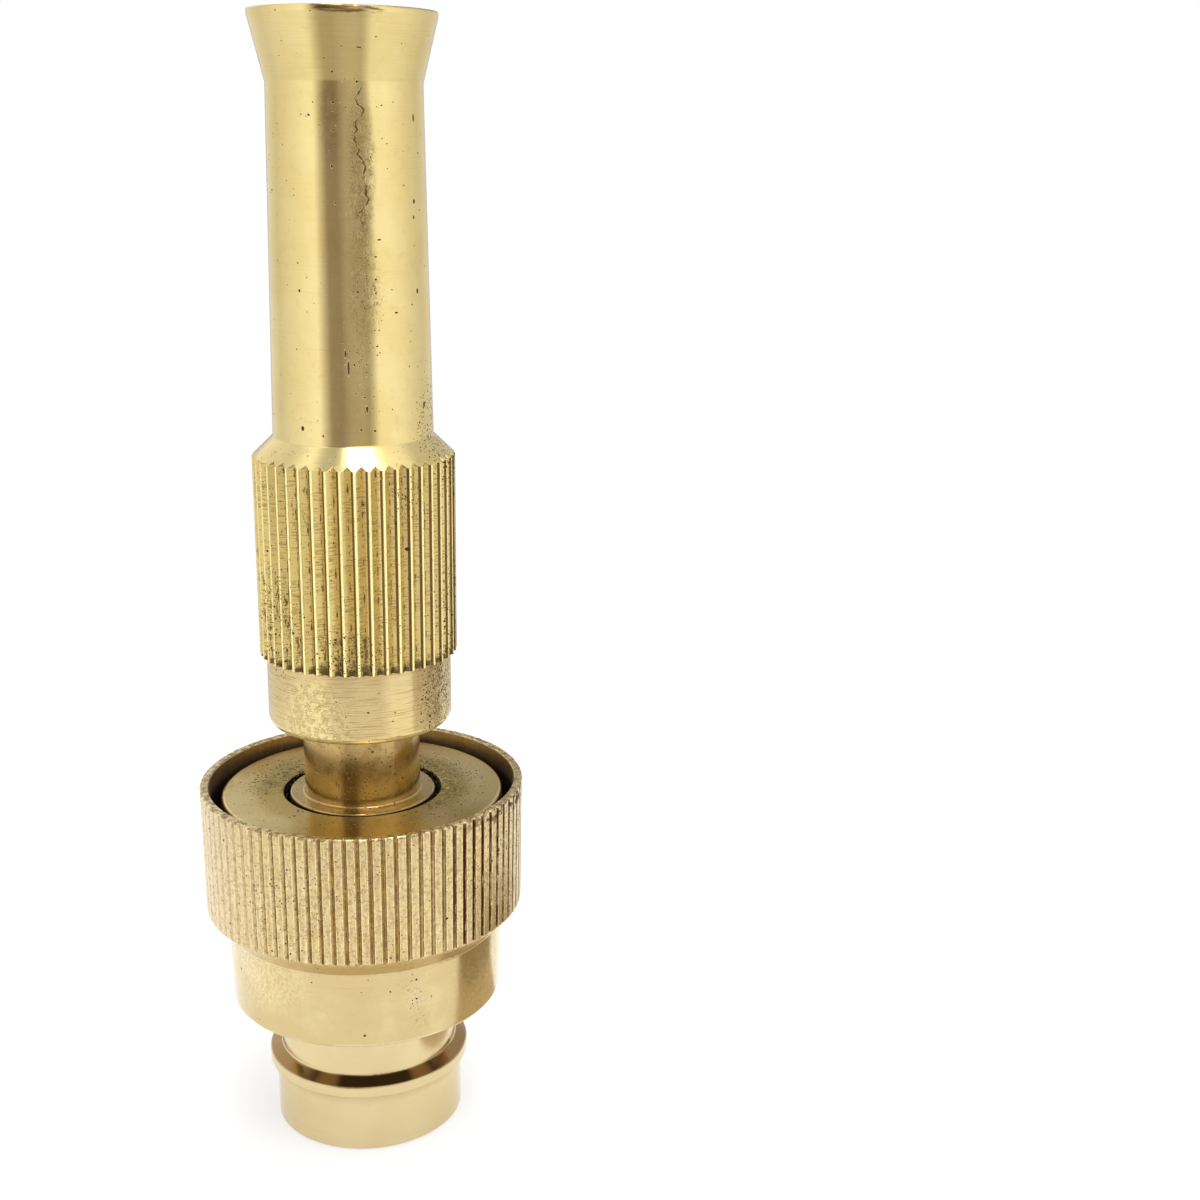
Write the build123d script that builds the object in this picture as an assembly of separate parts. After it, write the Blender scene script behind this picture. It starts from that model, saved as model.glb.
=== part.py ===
from build123d import *

import os
from math import cos, radians, sin

# A twist nozzle screwed into a ball-lock hose coupler, with its hose plug. Sizes are in millimetres.
# Every piece is turned about the Z axis. Z = 0 is the end face of the hose spigot, which the object
# stands on, and the spray leaves along +Z. Outlines are lists of (radius, height) points.

# Fits and edges
RUNNING_GAP = 0.05      # radial play of a piece that turns or slides in another
SLIDE_GAP = 0.10        # radial play of the sleeve's land on the core
REST_GAP = 0.02         # play at a shoulder that rests on its stop
FREE_GAP = 0.30         # play between pieces that only pass each other
EDGE = 0.30             # broken edge

# Travels that the inner spaces are sized for
SLEEVE_TRAVEL = 4.00    # up, to release the plug
BALL_TRAVEL = 1.20      # outwards, as the sleeve rises
CLOSE_TRAVEL = 4.50     # barrel down, to the shut valve
OPEN_TRAVEL = 3.00      # barrel up, to the widest jet

# Hose plug
SPIGOT_R = 10.25
BEAD_R = 11.00
BEAD_BOTTOM = 6.75
BEAD_TOP = 8.05
THROAT_R = 9.70         # shoulder of the neck, just above the bead
THROAT_BOTTOM = 8.80
THROAT_TOP = 13.50
NECK_R = 9.30
WATER_R = 7.00
PLUG_TOP = 31.30
NOSE_RING_Z = 28.60
NOSE_RING_WIRE_R = 0.90

# Lock balls
BALL_COUNT = 8
BALL_R = 2.00
BALL_Z = 23.50
BALL_PITCH_R = 10.15

# Coupler core
DISC_R = 15.10
DISC_TOP = 38.40
DISC_BOTTOM = 35.00
CORE_R = 11.90
CORE_BOTTOM = 15.30
COUNTERBORE_R = 8.50
COUNTERBORE_BOTTOM = 36.20
WASHER_TOP = 33.00

# Release sleeve
RIM_Z = 39.56
RIM_R = 17.30
DRUM_BOTTOM_Z = 25.80
DRUM_BOTTOM_R = 17.15
DRUM_BORE_R = 16.40
SKIRT_TOP_Z = 23.50
SKIRT_TOP_R = 14.90
SKIRT_R = 14.64
SKIRT_BOTTOM_Z = 15.00
SKIRT_BORE_R = 13.60
WEB_TOP = 25.50
RECESS_R = 13.55
LIP_R = 12.50
LIP_THICK = 0.90

# Retaining ring
RING_TOP = 16.90
RING_THICK = 1.00
RING_R = 13.30
RING_SEAT_R = 11.20

# Sleeve spring
SPRING_R = 14.00
SPRING_WIRE_R = 0.50
SPRING_TURNS = 5

# Stem
STEM_R = 6.20
STEM_BORE_R = 3.40
COLLAR_R = 7.80
COLLAR_TOP = 38.35
COLLAR_BOTTOM = 36.60
COLLAR_FILLET = 0.25
SHANK_R = 6.60
SHANK_BOTTOM = 33.20
THREAD_R = 7.40
THREAD_LENGTH = 9.00
LAND_R = 6.50
LAND_BOTTOM = 72.50
LAND_TOP = 77.50
LAND_RING_WIRE_R = 0.65
NOSE_R = 5.40
STEM_TOP = 95.50
PORT_R = 1.40
PORT_Z = 87.00
PORT_COUNT = 4

# Valve tip
TIP_HEAD_R = 5.00
TIP_HEAD_LENGTH = 2.40
TIP_SHANK_LENGTH = 4.50
TIP_NECK_R = 3.60
PIN_R = 2.40
PIN_END_R = 1.90
PIN_TOP = 112.00

# Barrel
LIP_Z = 118.43
LIP_OUT_R = 9.20
LIP_BAND = 0.55
FLARE_Z = 111.73
FLARE_R = 7.68
TUBE_BOTTOM_Z = 77.28
TUBE_BOTTOM_R = 8.20
GRIP_TOP_Z = 75.15
GRIP_TOP_R = 10.38
GRIP_BOTTOM_Z = 54.19
GRIP_BOTTOM_R = 10.34
BARREL_COLLAR_R = 9.68
BARREL_BOTTOM_Z = 46.50
GLAND_R = 8.10
GLAND_RING_BOTTOM = 46.90
GLAND_RING_TOP = 49.30
WIPER_HEIGHT = 1.70
WASHER_THICK = 0.80
GLAND_TOP = 52.10
THREAD_BORE_TOP = 70.00
BARREL_BORE_R = 6.55
SEAT_GAP = 0.15
ORIFICE_R = 3.00
ORIFICE_LENGTH = 2.45
MOUTH_R = 7.80

# Heights that follow from the travels: the stem's thread stops under the slip washer when the barrel
# is fully out, and the valve tip meets its seat when the barrel is fully in.
SLIP_WASHER_BOTTOM = GLAND_RING_TOP + 2 * RUNNING_GAP + WIPER_HEIGHT
THREAD_BOTTOM = SLIP_WASHER_BOTTOM + WASHER_THICK + OPEN_TRAVEL + FREE_GAP
SEAT_BOTTOM_Z = STEM_TOP + TIP_HEAD_LENGTH + TIP_HEAD_R + CLOSE_TRAVEL + SEAT_GAP - BARREL_BORE_R

# Straight knurls: number of V grooves, their depth and half width
GRIP_KNURL = {"count": 45, "depth": 0.50, "half_width": 0.62}
DRUM_KNURL = {"count": 84, "depth": 0.27, "half_width": 0.27}


def turned(outline, rounded=()):
    """A solid of revolution. rounded lists outline corners with their radii."""
    face = make_face(Polyline(*[(r, 0, z) for r, z in outline], close=True))
    for (r, z), radius in rounded:
        corner = face.vertices().sort_by_distance(Vertex(r, 0, z))[0]
        face = fillet(corner, radius)
    return revolve(face, Axis.Z)


def ring(mean_r, wire_r, z):
    """A round-section ring, such as an O-ring."""
    return Pos(0, 0, z) * Torus(mean_r, wire_r)


def collar(inner_r, outer_r, bottom, top):
    """A plain flat ring."""
    return turned([(inner_r, bottom), (outer_r, bottom), (outer_r, top), (inner_r, top)])


def radial_holes(count, outline, z):
    """Cutters for radial holes. outline lists (distance from the Z axis, hole radius) points."""
    near, far = outline[0][0], outline[-1][0]
    face = make_face(Polyline((near, 0), *outline, (far, 0), close=True))
    cutter = Pos(0, 0, z) * revolve(face, Axis.X)
    return [Rot(0, 0, 360 * i / count) * cutter for i in range(count)]


def knurl_cutters(knurl, bottom, top, overrun=1.5):
    """V-shaped cutters along the straight line from bottom to top, both (radius, height)."""
    (r0, z0), (r1, z1) = bottom, top
    along = Vector(r1 - r0, 0, z1 - z0)
    start = Vector(r0, 0, z0) - along.normalized() * overrun
    plane = Plane(origin=start, x_dir=along.cross(Vector(0, 1, 0)) * -1, z_dir=along)
    half_angle = knurl["half_width"] / knurl["depth"]
    proud = 0.40
    vee = Polyline(
        (-knurl["depth"], 0),
        (proud, (knurl["depth"] + proud) * half_angle),
        (proud, -(knurl["depth"] + proud) * half_angle),
        close=True,
    )
    cutter = extrude(plane * make_face(vee), amount=along.length + 2 * overrun)
    return [Rot(0, 0, 360 * i / knurl["count"]) * cutter for i in range(knurl["count"])]


def hose_plug():
    body = turned(
        [
            (WATER_R + 0.6, 0),
            (SPIGOT_R - EDGE, 0),
            (SPIGOT_R, EDGE),
            (SPIGOT_R, BEAD_BOTTOM),
            (BEAD_R, BEAD_BOTTOM),
            (BEAD_R, BEAD_TOP),
            (THROAT_R, THROAT_BOTTOM),
            (THROAT_R, THROAT_TOP),
            (NECK_R, THROAT_TOP + THROAT_R - NECK_R),
            (NECK_R, PLUG_TOP - 1),
            (NECK_R - 1, PLUG_TOP),
            (WATER_R, PLUG_TOP),
            (WATER_R, 0.6),
        ],
        rounded=[
            ((SPIGOT_R, BEAD_BOTTOM), 0.35),
            ((BEAD_R, BEAD_BOTTOM), 0.25),
            ((THROAT_R, THROAT_BOTTOM), 0.30),
        ],
    )
    ball_groove = ring(BALL_PITCH_R, BALL_R + RUNNING_GAP, BALL_Z)
    seal_depth = 2 * NOSE_RING_WIRE_R
    seal_groove = collar(NECK_R - seal_depth, NECK_R + 1, NOSE_RING_Z - 1.1, NOSE_RING_Z + 1.1)
    return body - ball_groove - seal_groove


def plug_o_ring():
    return ring(NECK_R - NOSE_RING_WIRE_R + 0.02, NOSE_RING_WIRE_R, NOSE_RING_Z)


def coupler_core():
    bore_r = NECK_R + RUNNING_GAP
    seat_r = RING_SEAT_R
    body = turned(
        [
            (bore_r + EDGE, CORE_BOTTOM),
            (CORE_R - EDGE, CORE_BOTTOM),
            (CORE_R, CORE_BOTTOM + EDGE),
            (CORE_R, RING_TOP - RING_THICK),
            (seat_r, RING_TOP - RING_THICK),
            (seat_r, RING_TOP),
            (CORE_R, RING_TOP),
            (CORE_R, DISC_BOTTOM),
            (DISC_R, DISC_BOTTOM),
            (DISC_R, DISC_TOP),
            (COUNTERBORE_R, DISC_TOP),
            (COUNTERBORE_R, COUNTERBORE_BOTTOM),
            (SHANK_R, COUNTERBORE_BOTTOM),
            (SHANK_R, WASHER_TOP),
            (bore_r, WASHER_TOP),
            (bore_r, CORE_BOTTOM + EDGE),
        ],
        rounded=[((DISC_R, DISC_TOP), 0.35), ((COUNTERBORE_R, DISC_TOP), 0.15)],
    )
    # Each ball hole narrows towards the bore, so that the balls stay in when the plug is out.
    hole_r = BALL_R + RUNNING_GAP + 0.01
    hole = [(bore_r - 0.6, hole_r - 0.3), (BALL_PITCH_R - 0.3, hole_r), (CORE_R + 1, hole_r)]
    return body - radial_holes(BALL_COUNT, hole, BALL_Z)


def nose_washer():
    return collar(WATER_R - 0.1, NECK_R - 0.05, PLUG_TOP + 0.1, WASHER_TOP)


def release_sleeve():
    # The ball cavity is a cone that holds the balls in at rest and lets them out as it rises.
    cone_slope = BALL_TRAVEL / SLEEVE_TRAVEL
    cone_cos = 1 / (1 + cone_slope**2) ** 0.5
    cone_r_at_balls = BALL_PITCH_R + BALL_R / cone_cos + RUNNING_GAP
    land_r = CORE_R + SLIDE_GAP
    land_bottom = BALL_Z + (cone_r_at_balls - land_r) / cone_slope
    recess_top = BALL_Z - (RECESS_R - cone_r_at_balls) / cone_slope
    lip_bottom = RING_TOP + REST_GAP
    lip_top = lip_bottom + LIP_THICK
    rim_bevel = 0.12
    body = turned(
        [
            (SKIRT_BORE_R, SKIRT_BOTTOM_Z),
            (SKIRT_R, SKIRT_BOTTOM_Z),
            (SKIRT_TOP_R, SKIRT_TOP_Z),
            (DRUM_BOTTOM_R, DRUM_BOTTOM_Z),
            (RIM_R, RIM_Z - rim_bevel),
            (RIM_R - rim_bevel, RIM_Z),
            (DRUM_BORE_R + rim_bevel, RIM_Z),
            (DRUM_BORE_R, RIM_Z - rim_bevel),
            (DRUM_BORE_R, WEB_TOP),
            (land_r, WEB_TOP),
            (land_r, land_bottom),
            (RECESS_R, recess_top),
            (RECESS_R, lip_top),
            (LIP_R, lip_top),
            (LIP_R, lip_bottom),
            (SKIRT_BORE_R, lip_bottom),
        ],
        rounded=[((SKIRT_R, SKIRT_BOTTOM_Z), 0.40), ((SKIRT_TOP_R, SKIRT_TOP_Z), 0.50)],
    )
    return body - knurl_cutters(DRUM_KNURL, (DRUM_BOTTOM_R, DRUM_BOTTOM_Z), (RIM_R, RIM_Z))


def sleeve_retaining_ring():
    opened = collar(RING_SEAT_R, RING_R, RING_TOP - RING_THICK, RING_TOP)
    gap = Pos(RING_R, 0, RING_TOP - RING_THICK / 2) * Box(2 * RING_R - 2 * RING_SEAT_R + 1, 3, 2 * RING_THICK)
    return opened - gap


def sleeve_spring():
    bottom = WEB_TOP + SPRING_WIRE_R + 0.05
    top = DISC_BOTTOM - SPRING_WIRE_R - 0.05
    height = top - bottom
    coil = Helix(pitch=height / SPRING_TURNS, height=height, radius=SPRING_R, center=(0, 0, bottom))
    section = Plane(origin=coil @ 0, z_dir=coil % 0) * Circle(SPRING_WIRE_R)
    return sweep(section, path=coil, is_frenet=True)


def lock_ball(index):
    angle = radians(360 * index / BALL_COUNT)
    return Pos(BALL_PITCH_R * cos(angle), BALL_PITCH_R * sin(angle), BALL_Z) * Sphere(BALL_R)


def stem_gasket():
    return collar(SHANK_R + 0.1, COLLAR_R - 0.1, COUNTERBORE_BOTTOM, COLLAR_BOTTOM)


def stem():
    thread_top = THREAD_BOTTOM + THREAD_LENGTH
    slope = THREAD_R - NOSE_R
    body = turned(
        [
            (STEM_BORE_R + 1, SHANK_BOTTOM),
            (SHANK_R - EDGE, SHANK_BOTTOM),
            (SHANK_R, SHANK_BOTTOM + EDGE),
            (SHANK_R, COLLAR_BOTTOM),
            (COLLAR_R, COLLAR_BOTTOM),
            (COLLAR_R, COLLAR_TOP),
            (STEM_R, COLLAR_TOP),
            (STEM_R, THREAD_BOTTOM),
            (THREAD_R, THREAD_BOTTOM),
            (THREAD_R, thread_top - slope),
            (NOSE_R, thread_top),
            (NOSE_R, LAND_BOTTOM),
            (LAND_R, LAND_BOTTOM),
            (LAND_R, LAND_TOP),
            (NOSE_R, LAND_TOP),
            (NOSE_R, STEM_TOP),
            (STEM_BORE_R, STEM_TOP),
            (STEM_BORE_R, SHANK_BOTTOM + 1),
        ],
        rounded=[((STEM_R, COLLAR_TOP), COLLAR_FILLET), ((COLLAR_R, COLLAR_TOP), 0.20)],
    )
    land_middle = (LAND_BOTTOM + LAND_TOP) / 2
    groove = collar(LAND_R - 2 * LAND_RING_WIRE_R, LAND_R + 1, land_middle - 0.8, land_middle + 0.8)
    ports = radial_holes(PORT_COUNT, [(STEM_BORE_R - 1, PORT_R), (NOSE_R + 1, PORT_R)], PORT_Z)
    return body - groove - ports


def stem_o_ring():
    return ring(LAND_R - LAND_RING_WIRE_R + 0.02, LAND_RING_WIRE_R, (LAND_BOTTOM + LAND_TOP) / 2)


def valve_tip():
    head_top = STEM_TOP + TIP_HEAD_LENGTH
    seal_top = head_top + TIP_HEAD_R - TIP_NECK_R
    cone_top = head_top + TIP_HEAD_R - PIN_R
    return turned(
        [
            (0, STEM_TOP - TIP_SHANK_LENGTH),
            (STEM_BORE_R, STEM_TOP - TIP_SHANK_LENGTH),
            (STEM_BORE_R, STEM_TOP),
            (TIP_HEAD_R, STEM_TOP),
            (TIP_HEAD_R, head_top),
            (TIP_NECK_R, head_top),
            (TIP_NECK_R, seal_top),
            (PIN_R, cone_top),
            (PIN_END_R, PIN_TOP - 1),
            (PIN_END_R, PIN_TOP),
            (0, PIN_TOP),
        ],
        rounded=[((PIN_END_R, PIN_TOP), 0.9)],
    )


def valve_seal():
    head_top = STEM_TOP + TIP_HEAD_LENGTH
    width = TIP_HEAD_R - TIP_NECK_R
    return turned([(TIP_NECK_R, head_top), (TIP_HEAD_R, head_top), (TIP_NECK_R, head_top + width)])


def barrel():
    thread_bore_r = THREAD_R + 0.06
    orifice_z = SEAT_BOTTOM_Z + BARREL_BORE_R - ORIFICE_R
    body = turned(
        [
            (GLAND_R, BARREL_BOTTOM_Z),
            (BARREL_COLLAR_R, BARREL_BOTTOM_Z),
            (BARREL_COLLAR_R, GRIP_BOTTOM_Z),
            (GRIP_BOTTOM_R, GRIP_BOTTOM_Z),
            (GRIP_TOP_R, GRIP_TOP_Z),
            (TUBE_BOTTOM_R, TUBE_BOTTOM_Z),
            (FLARE_R, FLARE_Z),
            (LIP_OUT_R, LIP_Z - LIP_BAND),
            (LIP_OUT_R, LIP_Z),
            (MOUTH_R, LIP_Z),
            (ORIFICE_R, orifice_z + ORIFICE_LENGTH),
            (ORIFICE_R, orifice_z),
            (BARREL_BORE_R, SEAT_BOTTOM_Z),
            (BARREL_BORE_R, THREAD_BORE_TOP + thread_bore_r - BARREL_BORE_R),
            (thread_bore_r, THREAD_BORE_TOP),
            (thread_bore_r, GLAND_TOP),
            (GLAND_R, GLAND_TOP),
        ],
        rounded=[
            ((BARREL_COLLAR_R, BARREL_BOTTOM_Z), 0.90),
            ((TUBE_BOTTOM_R, TUBE_BOTTOM_Z), 0.30),
            ((FLARE_R, FLARE_Z), 0.40),
            ((LIP_OUT_R, LIP_Z), 0.15),
            ((MOUTH_R, LIP_Z), 0.30),
        ],
    )
    return body - knurl_cutters(GRIP_KNURL, (GRIP_BOTTOM_R, GRIP_BOTTOM_Z), (GRIP_TOP_R, GRIP_TOP_Z))


def gland_ring():
    return collar(STEM_R + 0.08, GLAND_R, GLAND_RING_BOTTOM, GLAND_RING_TOP)


def wiper_seal():
    """A square-section rubber ring with a lip that wipes the stem."""
    inner_r = STEM_R + RUNNING_GAP
    outer_r = GLAND_R - RUNNING_GAP
    bottom = GLAND_RING_TOP + RUNNING_GAP
    top = bottom + WIPER_HEIGHT
    return turned(
        [
            (inner_r + 0.6, bottom),
            (outer_r - EDGE, bottom),
            (outer_r, bottom + EDGE),
            (outer_r, top - EDGE),
            (outer_r - EDGE, top),
            (inner_r + 0.6, top),
            (inner_r, (top + bottom) / 2 + 0.2),
            (inner_r, (top + bottom) / 2 - 0.2),
        ]
    )


def slip_washer():
    top = SLIP_WASHER_BOTTOM + WASHER_THICK
    return collar(STEM_R + RUNNING_GAP, GLAND_R - RUNNING_GAP, SLIP_WASHER_BOTTOM, top)


def main():
    pieces = {
        "hose_plug": hose_plug(),
        "plug_o_ring": plug_o_ring(),
        "coupler_core": coupler_core(),
        "nose_washer": nose_washer(),
        "release_sleeve": release_sleeve(),
        "sleeve_retaining_ring": sleeve_retaining_ring(),
        "sleeve_spring": sleeve_spring(),
        "stem_gasket": stem_gasket(),
        "stem": stem(),
        "stem_o_ring": stem_o_ring(),
        "valve_tip": valve_tip(),
        "valve_seal": valve_seal(),
        "barrel": barrel(),
        "gland_ring": gland_ring(),
        "wiper_seal": wiper_seal(),
        "slip_washer": slip_washer(),
    }
    for index in range(BALL_COUNT):
        pieces[f"lock_ball_{index + 1}"] = lock_ball(index)
    os.makedirs("parts", exist_ok=True)
    for name, piece in pieces.items():
        export_step(piece, f"parts/{name}.step")


main()
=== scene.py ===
import math

import bmesh
import bpy
from mathutils import Matrix, Vector


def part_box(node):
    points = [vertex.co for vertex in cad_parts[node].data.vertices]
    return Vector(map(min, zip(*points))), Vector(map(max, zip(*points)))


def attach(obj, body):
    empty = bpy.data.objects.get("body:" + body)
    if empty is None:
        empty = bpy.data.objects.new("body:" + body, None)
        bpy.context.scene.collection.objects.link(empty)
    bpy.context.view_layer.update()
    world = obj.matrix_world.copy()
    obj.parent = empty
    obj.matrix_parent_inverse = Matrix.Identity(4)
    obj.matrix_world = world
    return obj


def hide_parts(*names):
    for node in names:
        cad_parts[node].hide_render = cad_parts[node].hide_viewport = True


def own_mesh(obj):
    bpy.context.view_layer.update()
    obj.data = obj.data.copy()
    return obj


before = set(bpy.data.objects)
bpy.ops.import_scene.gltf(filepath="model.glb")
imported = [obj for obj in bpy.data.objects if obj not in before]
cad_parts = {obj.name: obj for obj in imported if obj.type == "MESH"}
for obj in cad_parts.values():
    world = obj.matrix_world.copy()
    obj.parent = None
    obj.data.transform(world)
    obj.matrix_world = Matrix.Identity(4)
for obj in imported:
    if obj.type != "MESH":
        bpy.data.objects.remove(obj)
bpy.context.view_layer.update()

MM = 0.001

# The camera: place in metres, turn about the vertical and tilt in degrees, lens for a 36 mm sensor.
CAMERA_PLACE = (-0.00527, -0.17481, 0.10748)
CAMERA_YAW = 10.13
CAMERA_DOWN = 15.41
CAMERA_ROLL = 0.74
CAMERA_LENS = 51.0

# The floor: radius in metres, corners of its edge, how far it lies below the object, and its own light
FLOOR_RADIUS = 0.135
FLOOR_CORNERS = 96
FLOOR_DROP = 0.00005
FLOOR_GLOW = 0.58
# Brown cards right of the object, in metres, seen by reflections only: name, x of the lower edge, y of
# both ends, z of the lower and of the upper edge, and colour. The upper edges all stand at CARD_X.
CARD_X = 0.042
CARDS = (
    ("card_low", CARD_X, -0.016, 0.018, 0.0, 0.016, (0.42, 0.34, 0.22)),
    ("card_flat", 0.023, -0.016, 0.018, 0.0005, 0.0005, (0.48, 0.39, 0.26)),
    ("card_high", CARD_X, -0.024, 0.017, 0.030, 0.046, (0.38, 0.28, 0.17)))
# Soft light from above and from the front: name, strength, spread in degrees, and where it points
SOFT_LIGHTS = (
    ("sun", 0.9, 30, (-0.10, 0.30, -1.14)),
    ("fill", 1.3, 50, (0.25, 1.0, -0.25)))
# Light that comes from each side of the room: degrees from the front to the right, and its colour
ROOM_LIGHT = (
    (-179, (0.55, 0.52, 0.51)), (-168, (0.56, 0.53, 0.52)), (-160, (0.80, 0.79, 0.78)),
    (-145, (0.76, 0.76, 0.76)), (-122, (0.68, 0.67, 0.67)), (-102, (0.78, 0.77, 0.78)),
    (-78, (0.90, 0.89, 0.90)), (-57, (1.00, 1.00, 1.00)), (-49, (1.02, 1.02, 1.02)),
    (-41, (0.66, 0.63, 0.61)), (-31, (0.30, 0.255, 0.24)), (-16, (0.28, 0.235, 0.225)),
    (-4, (0.40, 0.36, 0.36)), (12, (0.44, 0.40, 0.40)), (22, (0.36, 0.33, 0.33)),
    (29, (0.62, 0.59, 0.58)), (36, (0.98, 0.97, 0.96)),
    (56, (1.00, 1.00, 1.00)), (76, (0.92, 0.91, 0.92)), (98, (0.76, 0.75, 0.76)),
    (120, (0.66, 0.65, 0.66)), (148, (0.72, 0.72, 0.72)), (160, (0.66, 0.65, 0.64)),
    (168, (0.58, 0.55, 0.54)), (179, (0.55, 0.52, 0.51)))
# The same above eye level, where only the left of the front is dark
UPPER_LIGHT = (
    (-179, (0.55, 0.54, 0.53)), (-174, (0.86, 0.85, 0.84)), (-160, (0.95, 0.94, 0.93)),
    (-122, (0.70, 0.70, 0.70)), (-78, (0.90, 0.90, 0.90)), (-55, (1.05, 1.05, 1.05)),
    (-46, (0.85, 0.84, 0.83)), (-40, (0.30, 0.26, 0.25)), (-16, (0.26, 0.22, 0.21)),
    (-6, (0.70, 0.67, 0.65)), (8, (0.92, 0.90, 0.88)), (56, (1.05, 1.05, 1.05)),
    (76, (0.85, 0.84, 0.85)), (98, (0.66, 0.65, 0.66)), (120, (0.60, 0.59, 0.60)),
    (158, (0.55, 0.54, 0.53)), (170, (0.34, 0.32, 0.30)), (177, (0.36, 0.34, 0.32)),
    (179, (0.50, 0.49, 0.48)))
# The ceiling, from left to right: the sideways part of the direction, -1 to 1, and brightness
CEILING_LIGHT = (
    (-0.99, 0.62), (-0.62, 0.68), (-0.53, 1.12), (-0.47, 1.12), (-0.38, 0.58), (-0.24, 0.50),
    (-0.17, 0.80), (-0.04, 4.0), (0.10, 4.5), (0.24, 3.0), (0.34, 1.15), (0.55, 0.95), (0.99, 0.72))

# The upward parts of a direction between which one light fades into the next, and the light from low
# down with the share it takes of the room's
UPPER_FADE = (0.12, 0.24)
CEILING_FADE = (0.72, 0.85)
LOW_FADE = (-0.17, -0.40)
LOW_LIGHT = (0.70, 0.68, 0.66)
LOW_SHARE = 0.4

# The sleeve's spring: wire radius in metres, turns, and the part of a turn that lies flat at each end
SPRING_WIRE_R = 0.0005
SPRING_TURNS = 5
SPRING_FLAT = 0.8
# Mesh steps in a turn of the spring, and round its wire
SPRING_STEPS = 48
SPRING_SIDES = 12

# Where the paint changes, in mm, at the edges that the CAD has or a hair past them: heights, and radii
# where the name ends in _R
FLARE_BOTTOM = 111.5
COLLAR_BOTTOM = 45.0
COLLAR_TOP = 54.3
RIM_EDGE = 39.4                 # the sleeve's rim begins to round off
RIM_BORE_R = 16.45              # the inner side of the rim
DRUM_BOTTOM = 25.3
SKIRT_BOTTOM = 15.0
DISC_TOP = 38.4
DISC_SIDE_R = 15.0
GAP_R = 8.56                    # the wall in the disc, round the stem's collar
BEAD_HOLLOW = 7.9
BEAD_HOLLOW_R = (9.75, 10.9)    # the ledge between the plug's neck and its bead

# Knurls, in mm: crest radius at the bottom and what it gains for each mm up, groove depth, the part
# of a crest that gets a painted highlight, as shares of the pitch from the middle of a groove, and the
# heights between which the grooves are painted
GRIP_KNURL = {"count": 45, "crest": 10.34, "taper": 0.002, "depth": 0.50, "edge": (0.43, 0.60),
              "bottom": 54.2, "top": 75.2}
DRUM_KNURL = {"count": 84, "crest": 17.15, "taper": 0.011, "depth": 0.27, "edge": (0.21, 0.25),
              "bottom": 25.8, "top": 39.38}

# Brass colours, as linear reflectances
PALE_BRASS = (0.975, 0.800, 0.365)
DEEP_BRASS = (0.930, 0.735, 0.300)
PINK_BRASS = (0.690, 0.535, 0.275)
TARNISH = (0.300, 0.190, 0.085)
# black of soot in pits, and of painted shade in gaps and hollows
SOOT_AND_SHADE = (0.045, 0.028, 0.014)
GRIT = (0.070, 0.035, 0.015)
# painted shade: the black of narrow gaps between parts
GAP_SHADE = (0.012, 0.006, 0.004)
# the painted highlight along the knurls' crests
CREST_HIGHLIGHT = (1.0, 0.88, 0.40)

# Where the barrel has dense specks: angle from +X, height, half angle, half height, strength
BARREL_SPECKS = (
    (-24, 78.0, 26, 6.5, 0.60), (-12, 74.5, 28, 4.5, 0.60), (-150, 58.5, 30, 7.5, 0.35),
    (-20, 60.0, 32, 8.0, 0.45), (-98, 56.5, 26, 3.0, 0.60), (-33, 51.0, 26, 6.0, 1.0),
    (-60, 72.0, 12, 3.0, 0.50), (-97, 110.0, 18, 5.0, 0.07), (-83, 88.0, 16, 14.0, 0.10))
# Single spots on the barrel: angle, height, radius there, width and height
BARREL_MARKS = (
    (-37, 100.7, 8.0, 0.40, 0.55), (-38, 99.2, 8.0, 0.32, 0.45), (-36, 92.1, 8.0, 0.40, 0.60),
    (-31, 80.8, 8.1, 0.50, 0.65), (-94, 85.0, 8.1, 0.24, 1.9), (-96, 86.4, 8.1, 0.20, 1.0),
    (-82, 81.0, 8.1, 0.30, 0.7), (-129, 78.9, 8.1, 0.40, 0.6), (-129, 92.3, 8.0, 0.30, 0.35),
    (-26, 72.5, 10.3, 0.60, 1.3), (-62, 67.0, 10.3, 0.6, 0.5), (-58, 90.2, 8.0, 0.45, 0.2),
    (-82, 114.7, 8.5, 0.7, 0.15), (-35, 108.5, 7.9, 0.30, 0.9), (-102, 104.0, 7.9, 0.22, 0.4),
    (-100, 100.6, 7.9, 0.20, 0.3), (-70, 97.2, 8.0, 0.45, 0.18), (-73, 95.6, 8.0, 0.35, 0.15))


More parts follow.
